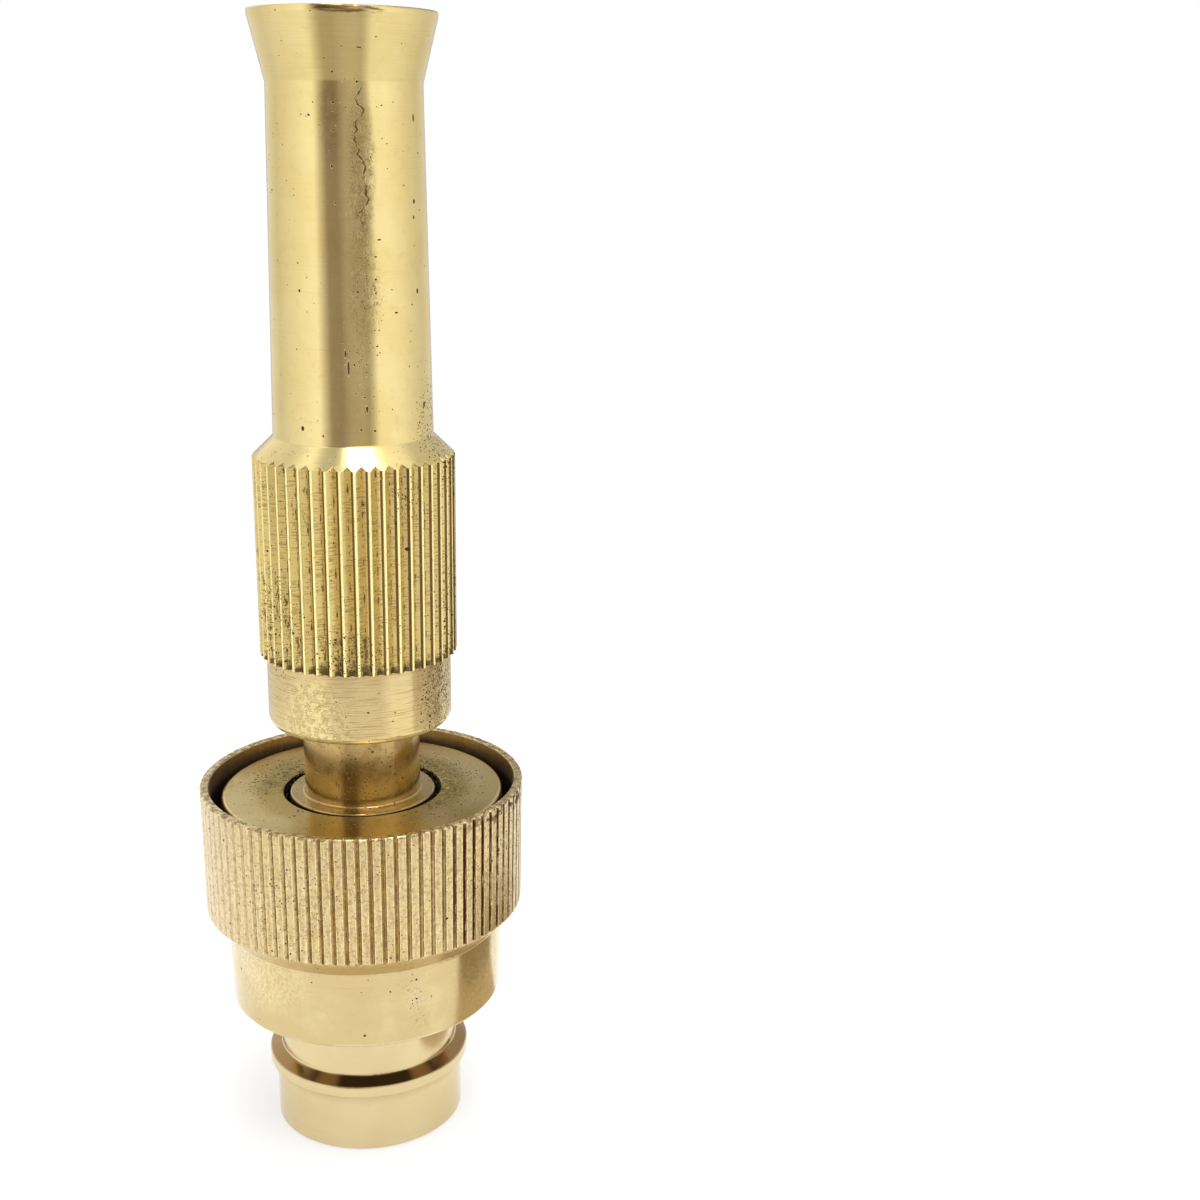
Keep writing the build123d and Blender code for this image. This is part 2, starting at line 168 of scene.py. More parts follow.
class Graph:
    """One material's nodes. Its coordinates are millimetres in the object's own frame, about its axis."""

    def __init__(self, owner):
        self.owner = owner
        owner.use_nodes = True
        self.tree = owner.node_tree
        self.place = self.scaled(self.node("ShaderNodeTexCoord", {}).outputs["Object"], 1 / MM)
        x, y, self.height = self.split(self.place)
        self.radius = self.math("SQRT", self.plus(self.times(x, x), self.times(y, y)))
        self.angle = self.math("ARCTAN2", y, x)

    def put(self, socket, value):
        if isinstance(value, bpy.types.NodeSocket):
            self.tree.links.new(value, socket)
        else:
            socket.default_value = value

    def node(self, kind, inputs, **settings):
        made = self.tree.nodes.new(kind)
        for key, value in settings.items():
            setattr(made, key, value)
        for key, value in inputs.items():
            self.put(made.inputs[key], value)
        return made

    def scaled(self, vector, factor):
        return self.node("ShaderNodeVectorMath", {0: vector, "Scale": factor}, operation="SCALE").outputs[0]

    def split(self, vector):
        return self.node("ShaderNodeSeparateXYZ", {0: vector}).outputs

    def vector(self, x, y, z):
        return self.node("ShaderNodeCombineXYZ", {0: x, 1: y, 2: z}).outputs[0]

    def math(self, operation, a, b=0.0):
        return self.node("ShaderNodeMath", {0: a, 1: b}, operation=operation).outputs[0]

    def times(self, first, *others):
        for other in others:
            first = self.math("MULTIPLY", first, other)
        return first

    def plus(self, first, *others):
        for other in others:
            first = self.math("ADD", first, other)
        return first

    def ramp(self, value, start, end, low=0.0, high=1.0):
        """low up to start, high from end on, and smooth between; start may be above end."""
        inputs = {0: value, 1: start, 2: end, 3: low, 4: high}
        return self.node("ShaderNodeMapRange", inputs, interpolation_type="SMOOTHSTEP").outputs[0]

    def mix(self, share, first, second):
        made = self.node("ShaderNodeMix", {}, data_type="RGBA")
        self.put(made.inputs[0], share)
        for socket, value in ((made.inputs[6], first), (made.inputs[7], second)):
            self.put(socket, (*value, 1.0) if isinstance(value, tuple) else value)
        return made.outputs[2]

    def stops(self, value, places):
        """A colour ramp through (place, colour) pairs; the places go up from over 0 to under 1."""
        made = self.node("ShaderNodeValToRGB", {0: value})
        elements = made.color_ramp.elements
        for place, colour in places:
            elements.new(place).color = (*colour, 1.0)
        elements[0].color = (*places[0][1], 1.0)
        elements[-1].color = (*places[-1][1], 1.0)
        return made.outputs[0]

    def noise(self, vector, scale=1.0, detail=2.0, roughness=0.5, distortion=0.0):
        inputs = {"Vector": vector, "Scale": scale, "Detail": detail, "Roughness": roughness,
                  "Distortion": distortion}
        return self.node("ShaderNodeTexNoise", inputs).outputs[0]

    def cells(self, vector, scale):
        """Distance to the nearest of scattered points, and a random number for that point."""
        made = self.node("ShaderNodeTexVoronoi", {"Vector": vector, "Scale": scale})
        return made.outputs["Distance"], self.split(made.outputs["Color"])[0]

    def turning_marks(self):
        """Fine rings left by the lathe: nearly even round the axis, uneven along it and across it."""
        around = self.times(self.angle, 1.4)
        fine, broad = (self.vector(around, self.times(self.radius, close), self.times(self.height, close))
                       for close in (7.0, 1.7))
        return self.plus(self.times(self.noise(fine, detail=3.0), 0.7), self.times(self.noise(broad), 0.3))

    def strayed(self, amount_mm, scale):
        """The place, pushed about by a noise, so that what is drawn with it has ragged outlines."""
        noise = self.node("ShaderNodeTexNoise", {"Vector": self.place, "Scale": scale, "Detail": 2.0})
        inputs = {0: noise.outputs["Color"], 1: (0.5, 0.5, 0.5)}
        push = self.node("ShaderNodeVectorMath", inputs, operation="SUBTRACT")
        inputs = {0: self.scaled(push.outputs[0], 2 * amount_mm), 1: self.place}
        return self.node("ShaderNodeVectorMath", inputs, operation="ADD").outputs[0]

    def pits(self, scale, size, share):
        """Scattered ragged pits: 1 in a pit. share, 0 to 1, may vary over the surface."""
        distance, chance = self.cells(self.strayed(0.12, 3.0), scale)
        present = self.math("LESS_THAN", chance, share)
        return self.times(self.ramp(distance, size, size * 0.55), present)

    def threads(self, vector, scale, width):
        """Thin wandering lines, like hair cracks: 1 on a line."""
        value = self.noise(vector, scale=scale, detail=3.0, roughness=0.6)
        return self.ramp(self.math("ABSOLUTE", self.math("SUBTRACT", value, 0.5)), width, width * 0.4)

    def between(self, value, low, high, soft=0.05):
        """1 where value is between low and high, 0 outside, with soft edges."""
        above = self.ramp(value, low - soft, low + soft)
        return self.times(above, self.ramp(value, high + soft, high - soft))

    def patches(self, places):
        """Several soft patches together: angle, height, half angle, half height and strength of each."""
        total = 0.0
        for *place, strength in places:
            total = self.plus(self.times(self.patch(*place), strength), total)
        return total

    def patch(self, angle, height, half_angle, half_height):
        """1 inside a soft round patch at an angle in degrees and a height in mm, 0 outside it."""
        turned = self.math("SUBTRACT", self.angle, math.radians(angle))
        inputs = {0: turned, 1: math.pi, 2: -math.pi}
        wrapped = self.node("ShaderNodeMath", inputs, operation="WRAP").outputs[0]
        across = self.times(wrapped, 1 / math.radians(half_angle))
        up = self.times(self.math("SUBTRACT", self.height, height), 1 / half_height)
        return self.ramp(self.plus(self.times(across, across), self.times(up, up)), 1.0, 0.0)

    def finish(self, colour, roughness, metallic, relief=None, depth_mm=0.0):
        """Wires the shader. relief is a height from 0 to 1 over depth_mm."""
        shader = self.tree.nodes["Principled BSDF"]
        self.put(shader.inputs["Base Color"], colour)
        self.put(shader.inputs["Roughness"], roughness)
        self.put(shader.inputs["Metallic"], metallic)
        if relief is not None:
            inputs = {"Height": relief, "Strength": 1.0, "Distance": depth_mm * MM}
            self.put(shader.inputs["Normal"], self.node("ShaderNodeBump", inputs).outputs[0])
        return self.owner


class Brass(Graph):
    """Turned brass with light tarnish, built up in layers over a base of two near colours."""

    def __init__(self, name, pale, deep, roughness):
        super().__init__(bpy.data.materials.new(name))
        self.cloud = self.noise(self.place, scale=0.16, detail=4.0, roughness=0.6)
        self.mottle = self.noise(self.place, scale=0.9, detail=5.0, roughness=0.65)
        self.colour = self.mix(self.ramp(self.cloud, 0.35, 0.68), pale, deep)
        self.roughness = self.plus(self.times(self.ramp(self.mottle, 0.3, 0.8), 0.08), roughness)
        self.relief = 0.0
        self.dirt = 0.0

    def layer(self, share, colour, roughness=0.0, height_mm=0.0, dirt=0.0):
        """Lays a colour over a share of each spot, 0 to 1, and adds that share of the roughness and the
        height. dirt, in that share, is dull and is not metal."""
        self.colour = self.mix(share, self.colour, colour)
        if roughness:
            self.roughness = self.plus(self.times(share, roughness), self.roughness)
        if height_mm:
            self.relief = self.plus(self.times(share, height_mm), self.relief)
        if dirt:
            self.dirt = self.math("MAXIMUM", self.times(share, dirt), self.dirt)

    def tool_rings(self, depth_mm, share):
        lines = self.turning_marks()
        self.layer(self.times(self.ramp(lines, 0.52, 0.75), share), TARNISH)
        self.relief = self.plus(self.times(lines, depth_mm), self.relief)

    def grain(self, depth_mm, share, tint):
        """The fine uneven skin of drawn or tumbled brass."""
        skin = self.noise(self.strayed(0.2, 2.0), scale=5.0, detail=3.0, roughness=0.6)
        self.layer(self.times(self.ramp(skin, 0.50, 0.72), share), tint)
        self.relief = self.plus(self.times(skin, depth_mm), self.relief)

    def tarnish(self, share):
        """Blotches of thin brown tarnish."""
        self.layer(self.times(self.ramp(self.mottle, 0.54, 0.72), share), TARNISH, roughness=0.12)

    def specks(self, share, dense=()):
        """Black pits all over, and more of them in the dense patches."""
        extra = self.patches(dense)
        small = self.pits(2.2, 0.34, self.plus(self.times(extra, 0.7), share))
        tiny = self.pits(4.4, 0.40, self.plus(self.times(extra, 1.2), self.times(share, 1.6)))
        self.layer(self.math("MAXIMUM", small, tiny), SOOT_AND_SHADE, roughness=0.4, height_mm=-0.02, dirt=0.8)

    def marks(self, places):
        """Single dents and dark spots: angle, height, width and height in mm, at the radius of each."""
        for angle, height, radius, width, tall in places:
            half_angle = math.degrees(width * 0.55 / radius)
            spot = self.ramp(self.patch(angle, height, half_angle, tall * 0.55), 0.05, 0.8)
            self.layer(spot, GRIT, roughness=0.3, height_mm=-0.04, dirt=0.6)

    def below_crest(self, knurl):
        """Depth in mm below a knurl's crests."""
        rise = self.times(self.math("SUBTRACT", self.height, knurl["bottom"]), knurl["taper"])
        return self.math("SUBTRACT", self.plus(rise, knurl["crest"]), self.radius)

    def grooves(self, knurl, flank_tint, flank_share, valley_tint, valley_share, level,
                satin=0.0, chatter=0.0):
        """A painted highlight along the crest edges, groove flanks tinted partly for tarnish and partly as
        painted shade, a line of painted shade beside each crest, and dirt along the bottoms. level is about
        how deep the dirt begins, as a share of the groove; satin dulls flanks and edges; chatter is the
        strength of the knurling tool's marks."""
        depth = self.below_crest(knurl)
        inside = self.times(self.between(self.height, knurl["bottom"], knurl["top"]),
                            self.math("LESS_THAN", depth, knurl["depth"] + 0.15))
        around = self.times(self.angle, knurl["count"] / (2 * math.pi))
        phase = self.math("FRACT", self.plus(around, 0.5 + knurl["count"]))
        # the flanks are tinted, partly tarnish and partly painted shade; the right flank of each groove
        # takes a fifth less, which is painted light
        flank = self.times(self.ramp(depth, 0.02, 0.07), inside)
        right = self.math("GREATER_THAN", phase, 0.5)
        share = self.times(flank, self.plus(self.times(right, -0.2 * flank_share), flank_share))
        self.layer(share, flank_tint, roughness=0.25, dirt=satin)
        # a painted highlight along the edges of the crests
        aside = self.math("ABSOLUTE", self.math("SUBTRACT", phase, 0.5))
        inner, outer = knurl["edge"]
        edge = self.times(self.between(aside, inner, outer, 0.01), inside)
        self.layer(self.times(edge, 0.85), CREST_HIGHLIGHT, roughness=satin * 0.5, dirt=satin * 2.7)
        # a thin line of painted shade beside each crest, on one side only, and dirt along the bottom,
        # wandering and broken
        run = self.vector(around, 5.0, self.times(self.height, 0.7))
        wander = self.noise(run, detail=4.0, roughness=0.7)
        beside = self.times(self.between(depth, 0.025, knurl["depth"] * 0.40, 0.02), right, inside)
        self.layer(self.times(beside, self.ramp(wander, 0.25, 0.38), 0.9), valley_tint)
        # the noise is 0.5 on average, so the dirt begins at level on average
        start = self.plus(self.times(wander, knurl["depth"] * 1.1), knurl["depth"] * (level - 0.55))
        valley = self.times(self.ramp(depth, start, self.plus(start, knurl["depth"] * 0.08)), inside)
        self.layer(self.times(valley, valley_share), valley_tint, roughness=0.35, dirt=0.6)
        if chatter:
            # short ribs across the flanks, and dirt that clots at the lower ends of the grooves
            ribs = self.noise(self.vector(around, 3.0, self.times(self.height, 5.5)), detail=1.0)
            where = self.noise(self.vector(around, 8.0, self.times(self.height, 0.30)), detail=2.0)
            ribs = self.times(flank, self.ramp(ribs, 0.50, 0.58), self.ramp(where, 0.36, 0.58))
            self.layer(self.times(ribs, chatter), (0.24, 0.14, 0.05), roughness=0.2, height_mm=-0.015)
            ends = self.ramp(self.height, knurl["bottom"] + 1.7, knurl["bottom"] + 0.3)
            clots = self.times(self.ramp(wander, 0.50, 0.58), ends, flank)
            foot = self.ramp(self.height, knurl["bottom"] + 0.9, knurl["bottom"] + 0.3)
            foot = self.times(foot, self.ramp(depth, 0.12, 0.28), inside)
            clots = self.times(self.math("MAXIMUM", clots, foot), 0.85)
            self.layer(clots, GRIT, roughness=0.4, dirt=0.5)

    def metal(self, anisotropy=0.5, edge_mm=0.06, edge_tint=(1.0, 1.0, 1.0)):
        """Joins the layers up. Edges look rounded by edge_mm, and the lathe's rings smear reflections.
        edge_tint is the colour of reflections at a low angle."""
        dirty = isinstance(self.dirt, bpy.types.NodeSocket)
        metallic = self.math("SUBTRACT", 1.0, self.dirt) if dirty else 1.0
        material = self.finish(self.colour, self.roughness, metallic)
        shader = self.tree.nodes["Principled BSDF"]
        # dull dirt has hardly any shine of its own
        shader.inputs["Specular IOR Level"].default_value = 0.1
        shader.inputs["Specular Tint"].default_value = (*edge_tint, 1.0)
        shader.inputs["Anisotropic"].default_value = anisotropy
        shader.inputs["Anisotropic Rotation"].default_value = 0.25
        rounded = self.node("ShaderNodeBevel", {"Radius": edge_mm * MM}, samples=4)
        inputs = {"Height": self.relief, "Strength": 1.0, "Distance": MM, "Normal": rounded.outputs[0]}
        self.put(shader.inputs["Normal"], self.node("ShaderNodeBump", inputs).outputs[0])
        tangent = self.node("ShaderNodeTangent", {}, direction_type="RADIAL", axis="Z")
        self.put(shader.inputs["Tangent"], tangent.outputs[0])
        return material


def barrel_brass():
    g = Brass("brass_barrel", PALE_BRASS, DEEP_BRASS, 0.12)
    g.tool_rings(depth_mm=0.003, share=0.09)
    # the flare still has its close, even turning lines
    lines = g.noise(g.vector(g.times(g.angle, 0.8), 7.0, g.times(g.height, 11.0)), detail=1.0)
    flare = g.ramp(g.height, FLARE_BOTTOM, FLARE_BOTTOM + 0.5)
    g.layer(g.times(g.ramp(lines, 0.46, 0.60), flare, 0.04), TARNISH)
    # the collar below the grip is satin, with blotches of its own on the left and right
    collar = g.between(g.height, COLLAR_BOTTOM, COLLAR_TOP)
    g.layer(g.times(collar, 0.58), (0.66, 0.50, 0.26), roughness=0.10, dirt=0.4)
    around = g.vector(g.times(g.angle, 2.2), 3.0, g.times(g.height, 9.0))
    scratches = g.noise(around, detail=3.0, roughness=0.7)
    g.layer(g.times(g.ramp(scratches, 0.54, 0.60), collar, 0.6), (0.38, 0.25, 0.10))
    blotch = g.patches([(-122, 49.0, 32, 5.5, 1.0), (-35, 49.0, 30, 5.0, 0.7)])
    crust = g.noise(g.strayed(0.3, 1.5), scale=1.5, detail=5.0, roughness=0.7)
    outline = g.times(g.between(crust, 0.455, 0.485, 0.012), g.ramp(blotch, 0.1, 0.6), collar)
    g.layer(g.times(outline, 0.45), (0.28, 0.17, 0.06), height_mm=-0.01)
    g.layer(g.times(g.ramp(crust, 0.50, 0.54), blotch, collar, 0.42), (1.0, 0.88, 0.42), height_mm=0.01)
    grime = g.noise(g.strayed(0.3, 1.5), scale=2.6, detail=4.0, roughness=0.7)
    grime = g.times(g.ramp(grime, 0.53, 0.58), collar, g.patch(-31, 51.5, 22, 5.0), 0.8)
    g.layer(grime, (0.06, 0.025, 0.01), roughness=0.3, dirt=0.5)
    # a brown stain with a crack runs down the tube, right of its front
    stain = g.patches([(-81, 104.5, 12, 8.5, 1.0), (-82, 94.0, 13, 9.0, 0.7), (-102, 108.0, 11, 5.5, 0.7)])
    g.layer(g.times(g.ramp(g.mottle, 0.30, 0.62), stain, 0.55), TARNISH, roughness=0.10)
    wrinkled = g.patches([(-82, 103.5, 13, 9.0, 1.0), (-83, 92.0, 12, 9.0, 0.7), (-72, 92.0, 8, 4.0, 0.5)])
    frost = g.noise(g.strayed(0.3, 1.2), scale=3.2, detail=4.0, roughness=0.7)
    frost = g.times(g.ramp(frost, 0.52, 0.62), wrinkled, 0.55)
    g.layer(frost, (0.26, 0.17, 0.07), roughness=0.1, height_mm=-0.01)
    # the crack's path wanders about -82 degrees, and its width changes from place to place
    path = g.noise(g.vector(7.0, 3.0, g.times(g.height, 0.21)), detail=4.0, roughness=0.55)
    aside = g.plus(g.angle, math.radians(82), g.times(g.math("SUBTRACT", path, 0.5), 0.85))
    width = g.noise(g.vector(1.0, 2.0, g.times(g.height, 0.9)), detail=3.0)
    width = g.ramp(width, 0.40, 0.60, 0.003, 0.026)
    crack = g.ramp(g.math("ABSOLUTE", aside), width, g.times(width, 0.4))
    g.layer(g.times(crack, g.between(g.height, 98.5, 111.2, 0.5), 0.85), (0.10, 0.06, 0.02),
            roughness=0.2, height_mm=-0.02)
    threads = g.threads(g.vector(g.times(g.angle, 8.0), 0.0, g.times(g.height, 0.5)), 0.9, 0.020)
    g.layer(g.times(threads, wrinkled, 0.5), (0.16, 0.09, 0.03), roughness=0.2)
    # the lip has a brown smear, drawn out along it
    drawn = g.noise(g.vector(g.times(g.angle, 4.0), 1.0, g.times(g.height, 4.0)), detail=4.0, roughness=0.7)
    lip = g.ramp(g.patches([(-99, 118.7, 15, 1.2, 1.0), (-84, 118.0, 20, 0.5, 0.8)]), 0.0, 0.5)
    g.layer(g.times(g.ramp(drawn, 0.42, 0.56), lip, 0.85), (0.15, 0.07, 0.03), roughness=0.2)
    g.tarnish(0.10)
    g.grooves(GRIP_KNURL, flank_tint=(0.73, 0.56, 0.20), flank_share=0.90, valley_tint=(0.10, 0.04, 0.01),
              valley_share=0.85, level=0.95, satin=0.33, chatter=0.5)
    # black flecks all over the grip, and caked dirt in the grooves, most at the bottom left
    grip = g.between(g.height, GRIP_KNURL["bottom"], GRIP_KNURL["top"] + 1.5)
    flecks = g.pits(4.2, 0.34, g.times(grip, g.plus(g.times(g.ramp(g.cloud, 0.38, 0.62), 0.20), 0.05)))
    g.layer(g.times(flecks, 0.85), SOOT_AND_SHADE, roughness=0.3, dirt=0.6)
    upright = g.vector(g.times(g.angle, 18.0), 1.0, g.times(g.height, 0.55))
    caked = g.noise(upright, detail=5.0, roughness=0.75)
    soiled = g.patches([(-148, 58.5, 30, 7.5, 1.0), (-97, 56.5, 24, 3.0, 0.5), (-125, 72.0, 14, 4.0, 0.5)])
    low = g.ramp(g.below_crest(GRIP_KNURL), 0.10, 0.28)
    caked = g.times(g.ramp(caked, 0.53, 0.57), grip, g.ramp(soiled, 0.0, 0.7), low, 0.85)
    g.layer(caked, (0.09, 0.04, 0.02), roughness=0.3, dirt=0.5)
    g.specks(0.006, BARREL_SPECKS)
    g.marks(BARREL_MARKS)
    return g.metal(anisotropy=0.85, edge_mm=0.12)


def sleeve_brass():
    g = Brass("brass_sleeve", PINK_BRASS, (0.68, 0.525, 0.265), 0.13)
    drum = g.ramp(g.height, DRUM_BOTTOM, DRUM_BOTTOM + 0.3)
    g.roughness = g.plus(g.times(drum, 0.10), g.roughness)
    g.tool_rings(depth_mm=0.002, share=0.10)
    upright = g.vector(g.times(g.angle, 46.0), 2.0, g.times(g.height, 0.30))
    streaks = g.noise(upright, detail=4.0, roughness=0.65)
    g.layer(g.times(g.ramp(streaks, 0.50, 0.62), drum, 0.45), (0.46, 0.31, 0.13), height_mm=-0.012)
    g.layer(g.times(g.ramp(streaks, 0.46, 0.36), drum, 0.45), (0.95, 0.78, 0.42), height_mm=0.008)
    g.grooves(DRUM_KNURL, flank_tint=(0.60, 0.44, 0.20), flank_share=0.40, valley_tint=(0.13, 0.07, 0.025),
              valley_share=0.90, level=0.86)
    # its left is worn pale, grooves and all
    g.layer(g.times(g.patch(-176, 32.0, 52, 24.0), 0.60), (0.84, 0.705, 0.48), roughness=0.06)
    # the drum is speckled, dark and pale
    mottled = g.noise(g.strayed(0.3, 2.0), scale=2.6, detail=4.0, roughness=0.7)
    g.layer(g.times(g.ramp(mottled, 0.53, 0.60), drum, 0.52), (0.44, 0.29, 0.14),
            roughness=0.12, height_mm=-0.012)
    g.layer(g.times(g.ramp(mottled, 0.42, 0.36), drum, 0.40), (1.0, 0.84, 0.50), height_mm=0.008)
    g.grain(0.004, g.plus(g.times(drum, 0.20), 0.14), (0.44, 0.31, 0.15))
    # its right has dark red in the grooves, partly dirt and partly painted shade from a neighbouring
    # object, and blackened nicks and groove ends at the rim
    soiled = g.ramp(g.patch(-10, 32.0, 62, 18.0), 0.0, 0.35)
    depth = g.below_crest(DRUM_KNURL)
    outside = g.math("LESS_THAN", depth, 0.4)
    wall = g.times(g.between(g.height, DRUM_KNURL["bottom"], DRUM_KNURL["top"]), outside)
    dirt = g.plus(g.times(g.noise(g.place, scale=0.9, detail=4.0), 0.26), -0.05)
    g.layer(g.times(g.ramp(depth, dirt, g.plus(dirt, 0.05)), wall, soiled), (0.075, 0.018, 0.006),
            roughness=0.3, dirt=0.5)
    nicks = g.noise(g.strayed(0.4, 1.5), scale=1.1, detail=4.0, roughness=0.65)
    g.layer(g.times(g.ramp(nicks, 0.50, 0.55), g.patch(-28, 38.9, 36, 1.4), wall, 0.85),
            (0.05, 0.015, 0.008), roughness=0.3, dirt=0.5)
    ends = g.times(g.patch(-36, 37.8, 46, 3.4), wall, g.ramp(nicks, 0.40, 0.50))
    g.layer(g.times(g.ramp(depth, 0.04, 0.12), ends, 0.8), (0.07, 0.02, 0.01), roughness=0.3, dirt=0.5)
    # the skirt is smoother and a little duller, with a bright bottom edge and soft blotches, scratched
    # right of its front and worn pale at its left and right
    skirt = g.ramp(g.height, DRUM_BOTTOM, DRUM_BOTTOM - 0.3)
    g.layer(g.times(skirt, 0.25), (0.43, 0.365, 0.155))
    lip = g.ramp(g.height, SKIRT_BOTTOM + 0.5, SKIRT_BOTTOM + 0.2)
    uneven = g.ramp(g.noise(g.place, scale=0.35, detail=5.0), 0.36, 0.60)
    g.layer(g.times(lip, uneven, 0.4), (0.98, 0.88, 0.60))
    scratches = g.noise(g.strayed(0.3, 1.2), scale=3.2, detail=5.0, roughness=0.7)
    scratched = g.patches([(-77, 21.8, 5, 1.6, 0.7), (-72, 20.0, 6, 2.0, 1.0), (-70, 17.4, 6, 1.6, 1.0),
                           (-122, 22.0, 10, 3.0, 0.4)])
    scratches = g.times(g.ramp(scratches, 0.52, 0.60), skirt, scratched, 0.45)
    g.layer(scratches, (0.34, 0.24, 0.11), height_mm=-0.01)
    worn = g.times(g.patches([(-28, 20.0, 34, 9.0, 0.40), (-150, 22.0, 40, 6.0, 0.45)]), skirt)
    g.layer(g.times(g.ramp(mottled, 0.46, 0.56), worn), (0.90, 0.76, 0.44), roughness=0.08)
    blotches = g.noise(g.strayed(0.5, 0.8), scale=0.22, detail=3.0)
    g.layer(g.times(g.ramp(blotches, 0.46, 0.66), skirt, 0.22), (0.56, 0.40, 0.19), roughness=0.03)
    g.layer(g.times(g.ramp(blotches, 0.50, 0.28), skirt, 0.16), (0.92, 0.80, 0.52), roughness=0.03)
    # the rim's edge is beaten
    rim = g.times(g.ramp(g.height, RIM_EDGE - 0.15, RIM_EDGE), g.math("GREATER_THAN", g.radius, RIM_BORE_R))
    beaten = g.noise(g.strayed(0.3, 2.0), scale=1.7, detail=3.0)
    g.layer(g.times(g.ramp(beaten, 0.51, 0.57), rim, 0.6), (0.24, 0.14, 0.05), height_mm=-0.03)
    g.layer(g.times(g.ramp(beaten, 0.49, 0.42), rim, 0.6), (1.0, 0.87, 0.45))
    # inside the rim it is brown, and painted shade makes it black down in the gap
    bore = g.times(g.between(g.radius, 12.0, RIM_BORE_R), g.ramp(g.height, 30.0, 31.0))
    g.layer(g.times(bore, 0.55), (0.34, 0.19, 0.09), roughness=0.10)
    g.layer(g.times(bore, g.ramp(g.height, RIM_EDGE - 0.5, RIM_EDGE - 2.4)), SOOT_AND_SHADE, roughness=0.3)
    g.specks(g.plus(g.times(drum, 0.010), 0.002),
             [(-118, 31.0, 26, 8.0, 0.10), (-70, 20.5, 9, 4.0, 0.05), (-20, 33.0, 40, 9.0, 0.20)])
    return g.metal(anisotropy=0.5)


def core_brass():
    """The disc: satin, stained dark round the stem, paler at its left and right as painted light, and
    black as painted shade in the gap beside the stem's collar and down its side."""
    g = Brass("brass_core", (0.72, 0.575, 0.30), (0.62, 0.475, 0.215), 0.15)
    g.tool_rings(depth_mm=0.003, share=0.25)
    near = g.ramp(g.radius, 12.8, 9.2)
    around = g.patches([(25, DISC_TOP, 60, 9.0, 1.0), (-35, DISC_TOP, 35, 9.0, 0.7),
                        (150, DISC_TOP, 45, 9.0, 0.8)])
    around = g.plus(around, 0.15)
    stain = g.ramp(g.noise(g.strayed(0.4, 1.0), scale=0.8, detail=5.0, roughness=0.7), 0.40, 0.62)
    g.layer(g.times(g.ramp(g.radius, 13.2, 9.6), around, 0.40), (0.32, 0.25, 0.10), roughness=0.05)
    # painted light: the disc is paler at its left and right
    pale = g.patches([(12, DISC_TOP, 58, 9.0, 1.0), (-165, DISC_TOP, 50, 9.0, 0.7)])
    g.layer(g.times(g.ramp(g.radius, 10.5, 12.5), pale, 0.60), (0.97, 0.85, 0.55), roughness=0.06)
    g.layer(g.times(near, around, stain, 0.85), (0.15, 0.12, 0.05), roughness=0.18, dirt=0.30)
    g.grain(0.008, 0.22, (0.25, 0.18, 0.08))
    g.tarnish(0.25)
    # painted shade: the wall of the gap round the stem's collar is black
    wall = g.times(g.math("LESS_THAN", g.radius, GAP_R), g.ramp(g.height, DISC_TOP - 0.04, DISC_TOP - 0.2))
    g.layer(wall, GAP_SHADE, roughness=0.4, dirt=0.9)
    # painted shade: the disc's side, down inside the sleeve's rim, is blackened
    side = g.ramp(g.height, DISC_TOP - 0.1, DISC_TOP - 1.2)
    side = g.times(g.math("GREATER_THAN", g.radius, DISC_SIDE_R), side)
    g.layer(g.times(side, 0.85), SOOT_AND_SHADE, roughness=0.3)
    small = g.pits(2.3, 0.42, g.times(g.ramp(g.radius, 14.2, 11.0), around, 0.8))
    g.layer(small, (0.05, 0.035, 0.012), roughness=0.3, height_mm=-0.015, dirt=0.9)
    flecks = g.noise(g.strayed(0.3, 1.5), scale=2.2, detail=5.0, roughness=0.7)
    g.layer(g.times(g.ramp(flecks, 0.55, 0.62), near, around, 0.7), (0.80, 0.66, 0.28))
    g.specks(0.02)
    return g.metal(anisotropy=0.85, edge_tint=(0.92, 0.80, 0.54))


def stem_brass():
    g = Brass("brass_stem", (0.64, 0.465, 0.195), (0.54, 0.38, 0.145), 0.13)
    g.tool_rings(depth_mm=0.002, share=0.2)
    g.tarnish(0.25)
    # painted shade: the side of its collar is black, down in the gap
    side = g.times(g.between(g.radius, 7.6, 8.2), g.ramp(g.height, DISC_TOP - 0.1, DISC_TOP - 0.3))
    g.layer(side, GAP_SHADE, roughness=0.4, dirt=0.9)
    g.specks(0.05, [(-100, 42.0, 60, 4.5, 0.15)])
    return g.metal(anisotropy=0.95)


def plug_brass():
    g = Brass("brass_plug", (0.70, 0.57, 0.32), (0.67, 0.535, 0.29), 0.12)
    g.tool_rings(depth_mm=0.0015, share=0.08)
    # the hollow of the bead, under the skirt, is painted shade: brown, a painted shadow black in front, and
    # a painted glint on each side of the black
    hollow = g.times(g.between(g.radius, *BEAD_HOLLOW_R), g.ramp(g.height, BEAD_HOLLOW, BEAD_HOLLOW + 0.3))
    g.layer(g.times(hollow, 0.8), (0.40, 0.21, 0.065))
    front = g.patch(-89, 8.0, 56, 9.0)
    g.layer(g.times(hollow, g.ramp(front, 0.0, 0.75), 0.95), SOOT_AND_SHADE, roughness=0.2)
    painted_glints = g.patches([(-118, 8.0, 9, 9.0, 1.0), (-60, 8.0, 9, 9.0, 1.0)])
    g.layer(g.times(hollow, painted_glints, 0.35), (0.85, 0.50, 0.15))
    # painted shade in the fold under the bead
    g.layer(g.times(g.between(g.height, 5.9, 6.7, 0.5), 0.30), (0.42, 0.31, 0.14))
    return g.metal(anisotropy=0.3, edge_mm=0.30)


def inner_brass():
    g = Brass("brass_inner", DEEP_BRASS, (0.70, 0.50, 0.20), 0.20)
    g.tool_rings(depth_mm=0.004, share=0.3)
    g.tarnish(0.3)
    g.specks(0.02)
    return g.metal()


